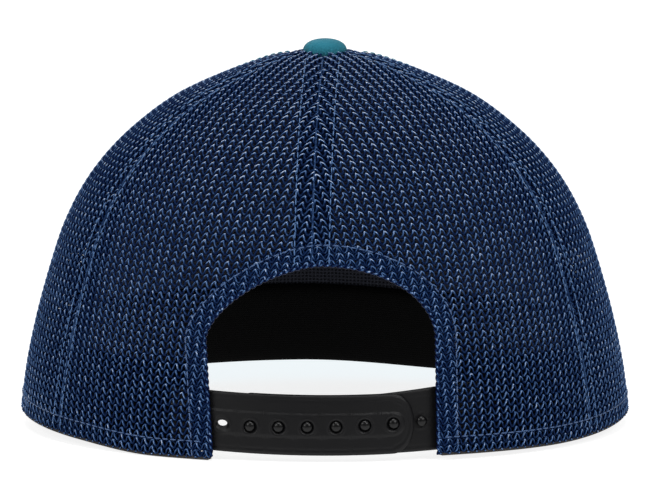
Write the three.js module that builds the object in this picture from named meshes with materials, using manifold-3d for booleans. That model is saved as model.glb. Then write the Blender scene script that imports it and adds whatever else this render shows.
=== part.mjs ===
// A trucker cap: two stiff front panels, four panels of knitted mesh, a flat visor, a covered button,
// a sweatband, and a plastic snap strap across an arched opening at the back.
// Millimetres, +Z up. The cap stands on the table at z = 0 with its visor towards -Y.
// The origin is on the table under the middle of the cap's outline.
// Right and left are the wearer's: right is -X and left is +X.

import * as THREE from 'three';
import { mergeVertices } from 'three/addons/utils/BufferGeometryUtils.js';
import Module from 'manifold-3d';

const wasm = await Module();
wasm.setup();

// Crown, measured outside
const crownHalfWidth = 105.6;
const crownHalfDepth = 84;
const crownHeight = 128;
const frontRimLift = 7.6;
const bandShow = 1;

// Walls and the clearance between neighbouring pieces
const meshWall = 1.5;
const panelWall = 2;
const liningWall = 0.8;
const gap = 0.3;

// Lining of the front panels, which ends this share of the way to the top
const liningReach = 0.97;

// Sweatband: it stops short of the opening's edges, and is a little higher at its ends than in front.
// Its depth eases over the first number of degrees, and its height over the second.
const sweatbandHeight = 28;
const sweatbandEndRise = 3;
const sweatbandWall = 1.5;
const sweatbandSetback = 4;
const sweatbandEase = 12;
const sweatbandRiseEase = 60;

// Rear opening: half-widths at the rim, how far each edge leans out above it, and the arch over it
const openingHalfWidth = 37.3;
const openingLeanLeft = 2.3;
const openingLeanRight = -0.6;
const openingSpring = 39.7;
const openingTop = 64.1;
const archPowerLeft = 1.6;
const archPowerRight = 2;

// Hem round the opening, a double layer of mesh
const hemWidth = 7;
const hemWall = 2.2;
const hemProud = 0.4;

// Snap strap: two overlapping strips, the outer with holes and the inner with pegs
const strapHeight = 19.8;
const strapBottom = 2.2;
const strapWall = 1;
const strapTuck = 15;
const strapEndRise = 0.8;
const strapTipLength = 7;
const pegTipLength = 6.3;
const rootFlare = 1.2;
const snapPitch = 9.65;
const snapCount = 7;
const snapsOpen = 1;
const firstHoleInset = 3.1;
const holeRadius = 2.3;
const pegRadius = 1.75;
const pegProud = 0.5;
const pegDome = 0.9;
const ridgeHalfHeight = 3.8;
const ridgeRelief = 0.4;

// Visor
const visorReach = 66;
const visorThickness = 3;
const visorSpread = 2;
const visorCornerDepth = 7;
const visorRollRadius = 600;
const visorSeat = 1.8;
const visorPower = 2.4;

// Button
const buttonRadius = 7.5;
const buttonFootRadius = 6.7;
const buttonHeight = 5;
const buttonSkirt = 0.8;
const buttonPower = 2.6;
const shankRadius = 1.2;
const shankLength = 5;

// Shape of the crown from the rim up to the top. Height is a share of the way from rim to top,
// side a share of the half-width, back and front shares of the half-depth.
const crownSections = [
  { height: 0, side: 1, back: 1, front: 1 },
  { height: 0.135, side: 0.978, back: 0.972, front: 0.99 },
  { height: 0.27, side: 0.944, back: 0.935, front: 0.976 },
  { height: 0.4, side: 0.902, back: 0.888, front: 0.952 },
  { height: 0.52, side: 0.855, back: 0.832, front: 0.915 },
  { height: 0.63, side: 0.79, back: 0.765, front: 0.862 },
  { height: 0.727, side: 0.705, back: 0.684, front: 0.786 },
  { height: 0.81, side: 0.603, back: 0.585, front: 0.688 },
  { height: 0.88, side: 0.49, back: 0.474, front: 0.565 },
  { height: 0.935, side: 0.358, back: 0.35, front: 0.42 },
  { height: 0.973, side: 0.24, back: 0.235, front: 0.28 },
  { height: 0.993, side: 0.124, back: 0.12, front: 0.142 },
  { height: 1, side: 0, back: 0, front: 0 },
];

// Height of the rim over the table as a share of its lift in front, at degrees round the cap from the
// middle of the back towards the wearer's right. The soft rim stands unevenly, and lies flat left of
// the opening.
const rimLifts = [
  { around: 0, lift: 0.1 },
  { around: 24, lift: 0.2 },
  { around: 46, lift: 0.17 },
  { around: 90, lift: 0.54 },
  { around: 155, lift: 0.7 },
  { around: 185, lift: 1 },
  { around: 270, lift: 0.62 },
  { around: 308, lift: 0.27 },
  { around: 327, lift: 0 },
  { around: 340, lift: 0 },
  { around: 360, lift: 0.1 },
];

// The six panels between their seams, at degrees round the cap from the middle of the back towards the
// wearer's right. The back's seam is sewn a little to the left of the middle, and the two panels that
// meet there are cut for the opening.
const backSeam = -2.8;
const panels = [
  { name: 'back_mesh_right', from: backSeam, to: 60, wall: meshWall, cloth: 'mesh', cut: true },
  { name: 'side_mesh_right', from: 60, to: 120, wall: meshWall, cloth: 'mesh', cut: false },
  { name: 'front_panel_right', from: 120, to: 180, wall: panelWall, cloth: 'front', cut: false },
  { name: 'front_panel_left', from: 180, to: 240, wall: panelWall, cloth: 'front', cut: false },
  { name: 'side_mesh_left', from: 240, to: 300, wall: meshWall, cloth: 'mesh', cut: false },
  { name: 'back_mesh_left', from: 300, to: 360 + backSeam, wall: meshWall, cloth: 'mesh', cut: true },
];

// Fineness of the curved surfaces: quads across and up a wall, and steps or sides of a rounding
const grids = {
  panel: { columns: 8, rows: 20 },
  lining: { columns: 16, rows: 14 },
  sweatband: { columns: 72, rows: 3 },
  hem: { columns: 20, rows: 10 },
  strap: { columns: 20, rows: 1 },
  visor: { columns: 32, rows: 6 },
};
const archSteps = 24;
const tipSteps = 10;
const studSides = 14;
const domeSteps = 3;
const buttonSides = 24;
const buttonSteps = 8;

// A wall that is cut to an outline is first made this much larger than the outline
const cutMargin = 1.25;

const materials = {
  mesh: new THREE.MeshStandardMaterial({ color: 0x26365a, roughness: 0.85, metalness: 0 }),
  front: new THREE.MeshStandardMaterial({ color: 0x2b8496, roughness: 0.8, metalness: 0 }),
  lining: new THREE.MeshStandardMaterial({ color: 0x1b1b1d, roughness: 0.9, metalness: 0 }),
  sweatband: new THREE.MeshStandardMaterial({ color: 0x141416, roughness: 0.9, metalness: 0 }),
  hem: new THREE.MeshStandardMaterial({ color: 0x22304f, roughness: 0.85, metalness: 0 }),
  strap: new THREE.MeshStandardMaterial({ color: 0x212123, roughness: 0.45, metalness: 0 }),
};

const radians = THREE.MathUtils.degToRad;
const backAngle = 0;
const frontAngle = 180;
const frontHalfSpan = 60;

// Levels on the crown between which heights and widths only rise or fall
const belowRim = -0.1;
const nearTop = 0.9;
const tinyStep = 1e-3;

// Turns a grid or mesh into a geometry whose faces point outwards
function closedGeometry(points, faces) {
  let volume = 0;
  for (let i = 0; i < faces.length; i += 3) {
    const [a, b, c] = [points[faces[i]], points[faces[i + 1]], points[faces[i + 2]]];
    volume += a.dot(b.clone().cross(c));
  }
  const geometry = new THREE.BufferGeometry().setFromPoints(points);
  geometry.setIndex(volume < 0 ? [...faces].reverse() : faces);
  return geometry;
}

// A closed wall between two surfaces, each a function of shares u and v on one grid
function wallBetween({ columns, rows }, outerAt, innerAt) {
  const points = [];
  for (const surface of [outerAt, innerAt]) {
    for (let row = 0; row <= rows; row++) {
      for (let column = 0; column <= columns; column++) {
        points.push(surface(column / columns, row / rows));
      }
    }
  }
  const across = columns + 1;
  const layer = across * (rows + 1);
  const at = (side, column, row) => side * layer + row * across + column;
  const faces = [];
  const quad = (a, b, c, d) => faces.push(a, b, c, a, c, d);
  for (let row = 0; row < rows; row++) {
    for (let column = 0; column < columns; column++) {
      quad(at(0, column, row), at(0, column + 1, row), at(0, column + 1, row + 1), at(0, column, row + 1));
      quad(at(1, column, row), at(1, column, row + 1), at(1, column + 1, row + 1), at(1, column + 1, row));
    }
  }
  for (let column = 0; column < columns; column++) {
    quad(at(0, column, 0), at(1, column, 0), at(1, column + 1, 0), at(0, column + 1, 0));
    quad(at(0, column, rows), at(0, column + 1, rows), at(1, column + 1, rows), at(1, column, rows));
  }
  for (let row = 0; row < rows; row++) {
    quad(at(0, 0, row), at(0, 0, row + 1), at(1, 0, row + 1), at(1, 0, row));
    quad(at(0, columns, row), at(1, columns, row), at(1, columns, row + 1), at(0, columns, row + 1));
  }
  return closedGeometry(points, faces);
}

function toSolid(geometry) {
  const bare = new THREE.BufferGeometry();
  bare.setAttribute('position', geometry.getAttribute('position'));
  bare.setIndex(geometry.getIndex());
  const merged = mergeVertices(bare, 1e-4);
  const vertProperties = new Float32Array(merged.getAttribute('position').array);
  const triVerts = new Uint32Array(merged.getIndex().array);
  return new wasm.Manifold(new wasm.Mesh({ numProp: 3, vertProperties, triVerts }));
}

function toGeometry(solid) {
  const mesh = solid.getMesh();
  const geometry = new THREE.BufferGeometry();
  geometry.setAttribute('position', new THREE.BufferAttribute(new Float32Array(mesh.vertProperties), 3));
  geometry.setIndex(new THREE.BufferAttribute(new Uint32Array(mesh.triVerts), 1));
  return geometry;
}

// The value of t in low to high where a rising function reaches a target
function solve(rising, target, low, high) {
  for (let i = 0; i < 50; i++) {
    const middle = (low + high) / 2;
    if (rising(middle) < target) {
      low = middle;
    } else {
      high = middle;
    }
  }
  return (low + high) / 2;
}

const smooth = (t) => THREE.MathUtils.smoothstep(t, 0, 1);

// A point on a unit superellipse, which is a circle at power 2 and squarer above it
function superellipse(turn, power) {
  const rounded = (share) => Math.sign(share) * Math.abs(share) ** (2 / power);
  return new THREE.Vector2(rounded(Math.cos(turn)), rounded(Math.sin(turn)));
}

// Height of the crown's rim over the table, by a curve through the table's rows that adds no dips or humps
function rimHeight(angle) {
  const around = THREE.MathUtils.euclideanModulo(THREE.MathUtils.radToDeg(angle), 360);
  const row = (i) => {
    const intervals = rimLifts.length - 1;
    const turns = Math.floor(i / intervals);
    const { around: start, lift } = rimLifts[i - turns * intervals];
    return { around: start + 360 * turns, lift };
  };
  const slopeAfter = (i) => (row(i + 1).lift - row(i).lift) / (row(i + 1).around - row(i).around);
  const slopeAt = (i) => {
    const [before, after] = [slopeAfter(i - 1), slopeAfter(i)];
    return before * after > 0 ? (2 * before * after) / (before + after) : 0;
  };
  const i = rimLifts.findLastIndex((entry) => entry.around <= around);
  const width = row(i + 1).around - row(i).around;
  const f = (around - row(i).around) / width;
  const lift =
    row(i).lift * (1 + 2 * f) * (1 - f) ** 2 +
    row(i + 1).lift * f * f * (3 - 2 * f) +
    width * (slopeAt(i) * f * (1 - f) ** 2 - slopeAt(i + 1) * f * f * (1 - f));
  return frontRimLift * lift;
}

// One column of the crown's table at a level from 0, the rim, to 1, the top, by a smooth spline.
// Past the top the heights mirror and the half-widths change sign, so the crown is round there.
function sectionAt(key, level) {
  const last = crownSections.length - 1;
  const mirrorSign = key === 'height' ? 1 : -1;
  const value = (i) => {
    if (i < 0) return 2 * crownSections[0][key] - crownSections[1][key];
    if (i > last) return mirrorSign * crownSections[2 * last - i][key];
    return crownSections[i][key];
  };
  const place = level * last;
  const i = THREE.MathUtils.clamp(Math.floor(place), 0, last - 1);
  const f = place - i;
  const [a, b, c, d] = [value(i - 1), value(i), value(i + 1), value(i + 2)];
  return b + 0.5 * f * (c - a + f * (2 * a - 5 * b + 4 * c - d + f * (3 * (b - c) + d - a)));
}

// The crown's outer surface
function crownAt(angle, level) {
  const depth = Math.cos(angle) > 0 ? sectionAt('back', level) : sectionAt('front', level);
  const base = rimHeight(angle) + bandShow;
  return new THREE.Vector3(
    -crownHalfWidth * sectionAt('side', level) * Math.sin(angle),
    crownHalfDepth * depth * Math.cos(angle),
    base + (crownHeight - base) * sectionAt('height', level),
  );
}

function crownNormal(angle, level) {
  const along = crownAt(angle + tinyStep, level).sub(crownAt(angle - tinyStep, level));
  const up = crownAt(angle, level + tinyStep).sub(crownAt(angle, level - tinyStep));
  return along.cross(up).normalize();
}

// A point a given depth inside the crown's outer surface
function insideCrown(angle, level, depth) {
  return crownAt(angle, level).addScaledVector(crownNormal(angle, level), -depth);
}

function levelAtHeight(angle, z) {
  return solve((level) => crownAt(angle, level).z, z, belowRim, nearTop);
}

// The same inside the crown's wall at an exact height, moved in level with the table
function insideWall(angle, z, depth) {
  const level = levelAtHeight(angle, z);
  const normal = crownNormal(angle, level).setZ(0).normalize();
  return crownAt(angle, level).addScaledVector(normal, -depth).setZ(z);
}

// How far round a seam's edge is moved so that neighbouring panels stay a gap apart
function seamAngle(angle, level) {
  const chord = crownAt(angle + tinyStep, level).distanceTo(crownAt(angle - tinyStep, level));
  return (gap * tinyStep) / chord;
}

// The panels end at the button's shank
const shankClearance = (level) => shankRadius + gap - crownHalfDepth * sectionAt('back', level);
const topLevel = solve(shankClearance, 0, nearTop, 1);

// A panel of the crown between two seams, from one level to another, at a depth and with a wall
function crownPanel(from, to, lowLevel, highLevel, depth, wall, grid) {
  const place = (u, v, inward) => {
    const level = lowLevel + (highLevel - lowLevel) * v;
    const start = from + seamAngle(from, level);
    const end = to - seamAngle(to, level);
    return insideCrown(start + (end - start) * u, level, inward);
  };
  const outer = (u, v) => place(u, v, depth);
  const inner = (u, v) => place(u, v, depth + wall);
  return wallBetween(grid, outer, inner);
}

// The opening's outline seen from behind, grown outwards: from the rim's left up, over the arch and down
function openingOutline(grow) {
  const centre = (openingLeanLeft - openingLeanRight) / 2;
  const halfSpan = openingHalfWidth + (openingLeanLeft + openingLeanRight) / 2 + grow;
  const rise = openingTop + grow - openingSpring;
  const foot = openingHalfWidth + grow;
  const below = -crownHeight;
  const outline = [new THREE.Vector2(foot, below), new THREE.Vector2(foot, 0)];
  for (let i = 0; i <= archSteps; i++) {
    const power = i < archSteps / 2 ? archPowerLeft : archPowerRight;
    const { x, y } = superellipse((Math.PI * i) / archSteps, power);
    outline.push(new THREE.Vector2(centre + halfSpan * x, openingSpring + rise * y));
  }
  outline.push(new THREE.Vector2(-foot, 0), new THREE.Vector2(-foot, below));
  return outline;
}

// A block with a given outline in X and Z that runs along Y through the cap's back wall
function blockThroughBack(outline) {
  const geometry = new THREE.ExtrudeGeometry(new THREE.Shape(outline), {
    depth: crownHalfDepth,
    bevelEnabled: false,
    steps: 1,
  });
  geometry.rotateX(Math.PI / 2);
  geometry.translate(0, crownHalfDepth * cutMargin, 0);
  return toSolid(geometry);
}

// Wall of the crown's back, wide enough for the hem or a strap, to be cut to its outline
function backWall(halfSpan, lowLevel, highLevel, depth, wall, grid) {
  const place = (u, v, inward) =>
    insideCrown(halfSpan * (2 * u - 1), lowLevel + (highLevel - lowLevel) * v, inward);
  const outer = (u, v) => place(u, v, depth);
  const inner = (u, v) => place(u, v, depth + wall);
  return toSolid(wallBetween(grid, outer, inner));
}

function openingHem() {
  const halfWidth = openingHalfWidth + Math.max(openingLeanLeft, openingLeanRight, 0) + hemWidth;
  const halfSpan = Math.asin(halfWidth / crownHalfWidth) * cutMargin;
  const highLevel = levelAtHeight(radians(backAngle), (openingTop + hemWidth) * cutMargin);
  const shell = backWall(halfSpan, 0, highLevel, -hemProud, hemWall, grids.hem);
  const band = blockThroughBack(openingOutline(hemWidth)).subtract(blockThroughBack(openingOutline(0)));
  return shell.intersect(band);
}

const strapDepth = hemWall - hemProud + gap;
const plateDepth = strapDepth + ridgeRelief;
const pegStripDepth = plateDepth + strapWall + gap;
const behindStrap = pegStripDepth + strapWall + gap;
const strapMiddle = strapBottom + strapHeight / 2;
const strapRoot = openingHalfWidth + strapTuck;
const strapLevel = levelAtHeight(radians(backAngle), strapMiddle);

// Angles of points along the strap, counted as arc length from its middle
function strapAngle(arc) {
  const halfWidth = crownHalfWidth - plateDepth;
  const halfDepth = crownHalfDepth - plateDepth;
  const speed = (angle) => Math.hypot(halfWidth * Math.cos(angle), halfDepth * Math.sin(angle));
  const steps = 40;
  let angle = 0;
  for (let i = 0; i < steps; i++) {
    angle += arc / steps / speed(angle);
  }
  return angle;
}

const strapX = (arc) => insideCrown(strapAngle(arc), strapLevel, plateDepth).x;
const firstHoleArc = solve((arc) => -strapX(arc), firstHoleInset - openingHalfWidth, -2 * strapRoot, 0);
const holeArc = (i) => firstHoleArc + i * snapPitch;
const pegArc = (i) => holeArc(i + snapsOpen);

// Outline of a strip in X and Z, from its root to a rounded tip. Its ends stand higher than its middle.
function stripOutline(root, tip, halfHeight, tipLength, flare) {
  const towards = Math.sign(root - tip);
  const straightEnd = tip + towards * tipLength;
  const middle = (x) => strapMiddle + strapEndRise * (x / openingHalfWidth) ** 2;
  const upper = [];
  const lower = [];
  for (let i = 0; i <= tipSteps; i++) {
    const x = THREE.MathUtils.lerp(root, straightEnd, i / tipSteps);
    const flared = flare * Math.max(0, (Math.sign(root) * x) / (openingHalfWidth / 2) - 1);
    upper.push(new THREE.Vector2(x, middle(x) + halfHeight + flared));
    lower.unshift(new THREE.Vector2(x, middle(x) - halfHeight));
  }
  const round = [];
  for (let i = 1; i < tipSteps; i++) {
    const turn = (Math.PI * i) / tipSteps;
    const x = straightEnd - towards * tipLength * Math.sin(turn);
    round.push(new THREE.Vector2(x, middle(x) + halfHeight * Math.cos(turn)));
  }
  return [...upper, ...round, ...lower];
}

function strip(outline, depth, wall) {
  const halfSpan = Math.asin(strapRoot / crownHalfWidth) * cutMargin;
  const spare = (strapHeight / 2) * cutMargin;
  const lowLevel = levelAtHeight(radians(backAngle), strapMiddle - spare);
  const highLevel = levelAtHeight(radians(backAngle), strapMiddle + spare + strapEndRise + rootFlare);
  const wallSolid = backWall(halfSpan, lowLevel, highLevel, depth, wall, grids.strap);
  return wallSolid.intersect(blockThroughBack(outline));
}

// A round stud or cutter whose axis stands on the strap's surface at a given arc length
function studAt(arc, profile) {
  const angle = strapAngle(arc);
  const normal = crownNormal(angle, strapLevel);
  const turn = new THREE.Quaternion().setFromUnitVectors(new THREE.Vector3(0, 1, 0), normal);
  const geometry = new THREE.LatheGeometry(profile, studSides);
  const seat = insideCrown(angle, strapLevel, plateDepth + strapWall);
  seat.z += strapEndRise * (seat.x / openingHalfWidth) ** 2;
  geometry.applyMatrix4(new THREE.Matrix4().compose(seat, turn, new THREE.Vector3(1, 1, 1)));
  return toSolid(geometry);
}

function holeStrap() {
  const lastHole = strapX(holeArc(snapCount - 1));
  const tip = lastHole - strapTipLength;
  const ridgeTip = lastHole - ridgeHalfHeight;
  const plateOutline = stripOutline(strapRoot, tip, strapHeight / 2, strapTipLength, 0);
  const plate = strip(plateOutline, plateDepth, strapWall);
  const ridgeOutline = stripOutline(strapRoot, ridgeTip, ridgeHalfHeight, ridgeHalfHeight, 0);
  const ridge = strip(ridgeOutline, strapDepth, ridgeRelief + strapWall / 2);
  const reach = strapWall + ridgeRelief + gap;
  const cutter = [
    new THREE.Vector2(0, -reach),
    new THREE.Vector2(holeRadius, -reach),
    new THREE.Vector2(holeRadius, reach),
    new THREE.Vector2(0, reach),
  ];
  let solid = plate.add(ridge);
  for (let i = 0; i < snapCount; i++) {
    solid = solid.subtract(studAt(holeArc(i), cutter));
  }
  return solid;
}

function pegStrap() {
  const tip = strapX(pegArc(0)) + pegTipLength;
  const strapOutline = stripOutline(-strapRoot, tip, strapHeight / 2, strapTipLength, rootFlare);
  let solid = strip(strapOutline, pegStripDepth, strapWall);
  const root = -gap - strapWall / 2;
  const domeFoot = strapWall + ridgeRelief + pegProud - pegDome;
  const profile = [new THREE.Vector2(0, root), new THREE.Vector2(pegRadius, root)];
  for (let i = 0; i < domeSteps; i++) {
    const { x, y } = superellipse((Math.PI / 2) * (i / domeSteps), 2);
    profile.push(new THREE.Vector2(pegRadius * x, domeFoot + pegDome * y));
  }
  profile.push(new THREE.Vector2(0, domeFoot + pegDome));
  for (let i = 0; i < snapCount; i++) {
    solid = solid.add(studAt(pegArc(i), profile));
  }
  return solid;
}

// How far round the cap from the strap's hidden end a place is, as seen from the nearer side
function beyondStrap(angle) {
  const strapEnd = Math.asin((strapRoot + behindStrap) / crownHalfWidth);
  return Math.min(angle, 2 * Math.PI - angle) - strapEnd;
}

function sweatbandTop(angle) {
  const lower = smooth(beyondStrap(angle) / radians(sweatbandRiseEase));
  return sweatbandHeight + sweatbandEndRise * (1 - lower);
}

// The sweatband lies inside the strap's ends at the back, the mesh at the sides and the lining in front
function sweatbandDepth(angle) {
  const sideDepth = meshWall + gap;
  const frontDepth = panelWall + gap + liningWall + gap;
  const ease = radians(sweatbandEase);
  const fromStrap = beyondStrap(angle);
  const fromFront = Math.abs(angle - Math.PI) - radians(frontHalfSpan);
  if (fromStrap < fromFront - ease) {
    return behindStrap + (sideDepth - behindStrap) * smooth(fromStrap / ease);
  }
  return sideDepth + (frontDepth - sideDepth) * smooth(1 - fromFront / ease);
}

// Angle from the middle of the back at which the sweatband ends beside an edge that leans out by so much
function sweatbandEnd(lean) {
  const widest = openingHalfWidth + Math.max(lean, 0);
  return Math.asin((widest + sweatbandSetback) / crownHalfWidth);
}

function sweatband() {
  const rightEnd = sweatbandEnd(openingLeanRight);
  const leftEnd = sweatbandEnd(openingLeanLeft);
  const place = (u, v, inward) => {
    const angle = rightEnd + (2 * Math.PI - rightEnd - leftEnd) * u;
    return insideWall(angle, rimHeight(angle) + sweatbandTop(angle) * v, sweatbandDepth(angle) + inward);
  };
  const outer = (u, v) => place(u, v, 0);
  const inner = (u, v) => place(u, v, sweatbandWall);
  return wallBetween(grids.sweatband, outer, inner);
}

function frontLining() {
  const lowLevel = levelAtHeight(radians(frontAngle), frontRimLift + 2 * bandShow);
  const depth = panelWall + gap;
  const from = radians(frontAngle - frontHalfSpan);
  const to = radians(frontAngle + frontHalfSpan);
  return crownPanel(from, to, lowLevel, topLevel * liningReach, depth, liningWall, grids.lining);
}

// The visor is a gently rolled sheet between the front of the rim and a broad rounded outline
function visor() {
  const span = radians(frontHalfSpan);
  const innerEdge = (u) => {
    const angle = radians(frontAngle) + span * (1 - 2 * u);
    return insideWall(angle, rimHeight(angle) + visorSeat + visorThickness / 2, -gap);
  };
  const corner = innerEdge(0);
  const halfSpread = Math.abs(corner.x) + visorSpread;
  const frontReach = crownHalfDepth + visorReach + corner.y - visorCornerDepth;
  const outerEdge = (u) => {
    const { x: out, y: across } = superellipse((Math.PI / 2) * (1 - 2 * u), visorPower);
    return new THREE.Vector2(halfSpread * across, corner.y - visorCornerDepth - frontReach * out);
  };
  const seat = frontRimLift + visorSeat;
  const fromRim = (y) => (-crownHalfDepth - y) / visorReach;
  const level = (x) => seat - (x * x) / (2 * visorRollRadius);
  // The drop to the front brings the visor's lowest point down to the table
  let drop = seat;
  for (let i = 0; i <= grids.visor.columns; i++) {
    const { x, y } = outerEdge(i / grids.visor.columns);
    if (fromRim(y) > 0) {
      drop = Math.min(drop, level(x) / fromRim(y));
    }
  }
  const place = (u, v, raise) => {
    const inner = innerEdge(u);
    const outer = outerEdge(u);
    const x = inner.x + (outer.x - inner.x) * v;
    const y = inner.y + (outer.y - inner.y) * v;
    return new THREE.Vector3(x, y, level(x) - drop * fromRim(y) + raise);
  };
  const top = (u, v) => place(u, v, visorThickness);
  const underside = (u, v) => place(u, v, 0);
  return wallBetween(grids.visor, top, underside);
}

function topButton() {
  const base = crownHeight + gap;
  const profile = [
    new THREE.Vector2(0, base - shankLength),
    new THREE.Vector2(shankRadius, base - shankLength),
    new THREE.Vector2(shankRadius, base),
    new THREE.Vector2(buttonFootRadius, base),
  ];
  for (let i = 0; i < buttonSteps; i++) {
    const { x, y } = superellipse((Math.PI / 2) * (i / buttonSteps), buttonPower);
    profile.push(new THREE.Vector2(buttonRadius * x, base + buttonSkirt + (buttonHeight - buttonSkirt) * y));
  }
  profile.push(new THREE.Vector2(0, base + buttonHeight));
  const geometry = new THREE.LatheGeometry(profile, buttonSides);
  geometry.rotateX(Math.PI / 2);
  return geometry;
}

const cap = new THREE.Group();

function addPiece(name, geometry, material) {
  const mesh = new THREE.Mesh(geometry, material);
  mesh.name = name;
  cap.add(mesh);
}

const hemCutter = blockThroughBack(openingOutline(hemWidth + gap));
for (const panel of panels) {
  const from = radians(panel.from);
  const to = radians(panel.to);
  const geometry = crownPanel(from, to, 0, topLevel, 0, panel.wall, grids.panel);
  const finished = panel.cut ? toGeometry(toSolid(geometry).subtract(hemCutter)) : geometry;
  addPiece(panel.name, finished, materials[panel.cloth]);
}
addPiece('front_lining', frontLining(), materials.lining);
addPiece('sweatband', sweatband(), materials.sweatband);
addPiece('opening_hem', toGeometry(openingHem()), materials.hem);
addPiece('strap_with_holes', toGeometry(holeStrap()), materials.strap);
addPiece('strap_with_pegs', toGeometry(pegStrap()), materials.strap);
addPiece('visor', visor(), materials.front);
addPiece('top_button', topButton(), materials.front);

const outline = new THREE.Box3().setFromObject(cap);
cap.position.y = -(outline.min.y + outline.max.y) / 2;

export default cap;
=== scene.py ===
import bpy
import numpy as np
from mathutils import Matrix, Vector


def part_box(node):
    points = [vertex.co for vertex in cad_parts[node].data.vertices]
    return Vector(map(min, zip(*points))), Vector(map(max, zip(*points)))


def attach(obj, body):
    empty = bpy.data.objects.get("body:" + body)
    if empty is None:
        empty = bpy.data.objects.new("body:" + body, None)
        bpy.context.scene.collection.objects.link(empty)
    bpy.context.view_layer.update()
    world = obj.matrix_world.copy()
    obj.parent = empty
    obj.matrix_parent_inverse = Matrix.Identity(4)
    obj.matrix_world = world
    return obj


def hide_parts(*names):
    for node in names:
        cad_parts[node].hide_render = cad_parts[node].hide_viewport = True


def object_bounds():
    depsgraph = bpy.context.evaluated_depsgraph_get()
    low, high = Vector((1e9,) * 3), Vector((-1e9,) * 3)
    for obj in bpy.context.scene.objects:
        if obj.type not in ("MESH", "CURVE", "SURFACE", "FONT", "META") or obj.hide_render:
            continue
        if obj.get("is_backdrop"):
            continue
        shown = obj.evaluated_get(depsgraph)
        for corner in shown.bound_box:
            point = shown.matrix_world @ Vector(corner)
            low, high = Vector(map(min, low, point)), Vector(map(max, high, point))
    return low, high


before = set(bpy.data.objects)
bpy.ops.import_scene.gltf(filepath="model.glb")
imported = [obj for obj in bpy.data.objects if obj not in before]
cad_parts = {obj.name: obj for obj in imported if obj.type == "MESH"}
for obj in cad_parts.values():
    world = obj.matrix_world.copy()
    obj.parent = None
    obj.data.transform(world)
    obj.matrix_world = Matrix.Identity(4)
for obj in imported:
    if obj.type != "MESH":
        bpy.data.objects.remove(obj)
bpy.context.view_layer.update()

# Front panels
# Two gores of teal woven polyester, each fused to a stiff backing and sewn together down the middle.
# The seam is pressed open and stitched down on both sides, so it lies in a shallow groove.

# Sizes are in millimetres up to the moment a mesh is made. Angles run round the cap from the middle of
# its back towards the wearer's right, and levels run from 0 at the rim to 1 at the top.
crown_half_width, crown_half_depth, crown_height = 105.6, 84.0, 128.0
front_rim_lift, band_show = 7.6, 1.0
top_level = 0.98
button_low, button_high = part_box("top_button")
crown_middle_y = 500 * (button_low.y + button_high.y)

# Shares of the crown's height, half-width and half-depths, from the rim up
crown_rows = np.array([
    (0, 1, 1, 1),
    (0.135, 0.978, 0.972, 0.99),
    (0.27, 0.944, 0.935, 0.976),
    (0.4, 0.902, 0.888, 0.952),
    (0.52, 0.855, 0.832, 0.915),
    (0.63, 0.79, 0.765, 0.862),
    (0.727, 0.705, 0.684, 0.786),
    (0.81, 0.603, 0.585, 0.688),
    (0.88, 0.49, 0.474, 0.565),
    (0.935, 0.358, 0.35, 0.42),
    (0.973, 0.24, 0.235, 0.28),
    (0.993, 0.124, 0.12, 0.142),
    (1, 0, 0, 0),
])
height_row, side_row, back_row, front_row = crown_rows.T

# Degrees round the cap, and the rim's lift there as a share of its lift in front
rim_rows = np.array([
    (0, 0.1), (24, 0.2), (46, 0.17), (90, 0.54), (155, 0.7), (185, 1),
    (270, 0.62), (308, 0.27), (327, 0), (340, 0), (360, 0.1),
])


def table_curve(row, level):
    """Catmull-Rom curve through a row of the crown's table: each stretch is the cubic through four
    neighbouring values. Past the top the heights mirror and the widths change sign."""
    mirrored = row[-2] if row[-1] else -row[-2]
    values = np.concatenate([[2 * row[0] - row[1]], row, [mirrored]])
    place = level * (len(row) - 1)
    start = np.clip(np.floor(place).astype(int), 0, len(row) - 2)
    f = place - start
    a, b, c, d = (values[start + i] for i in range(4))
    return b + 0.5 * f * (c - a + f * (2 * a - 5 * b + 4 * c - d + f * (3 * (b - c) + d - a)))


def rim_height(angle):
    """Height of the crown's rim over the table: a cubic between each two rows of the rim's table,
    whose slope at a row is the harmonic mean of the slopes beside it, or level at a turning point."""
    around, lift = rim_rows.T
    slope = np.diff(lift) / np.diff(around)
    before = np.roll(slope, 1)
    rising = before * slope > 0
    bend = np.where(rising, 2 * before * slope / np.where(rising, before + slope, 1), 0)
    bend = np.append(bend, bend[0])
    degrees = np.degrees(angle) % 360
    i = np.clip(np.searchsorted(around, degrees, side="right") - 1, 0, len(slope) - 1)
    width = around[i + 1] - around[i]
    f = (degrees - around[i]) / width
    ends = lift[i] * (1 + 2 * f) * (1 - f) ** 2 + lift[i + 1] * f * f * (3 - 2 * f)
    bends = width * (bend[i] * f * (1 - f) ** 2 - bend[i + 1] * f * f * (1 - f))
    return front_rim_lift * (ends + bends)


def crown_surface(angle, level):
    """The crown's outside: an ellipse at each level, deeper in front than behind, whose half-axes
    and height follow the table between the rim's own height and the top."""
    angle, level = np.broadcast_arrays(np.asarray(angle, float), np.asarray(level, float))
    depth = np.where(np.cos(angle) > 0, table_curve(back_row, level), table_curve(front_row, level))
    base = rim_height(angle) + band_show
    x = -crown_half_width * table_curve(side_row, level) * np.sin(angle)
    y = crown_middle_y + crown_half_depth * depth * np.cos(angle)
    z = base + (crown_height - base) * table_curve(height_row, level)
    return np.stack([x, y, z], -1)


def crown_at(angle, level, depth=0.0):
    """Points a depth inside the crown's outside, and the outward normals there, which are the cross
    product of a small step round the cap and a small step up it."""
    step = 1e-3
    along = crown_surface(angle + step, level) - crown_surface(angle - step, level)
    up = crown_surface(angle, level + step) - crown_surface(angle, level - step)
    normal = np.cross(along, up)
    normal /= np.linalg.norm(normal, axis=-1, keepdims=True)
    return crown_surface(angle, level) - np.asarray(depth)[..., None] * normal, normal


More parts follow.
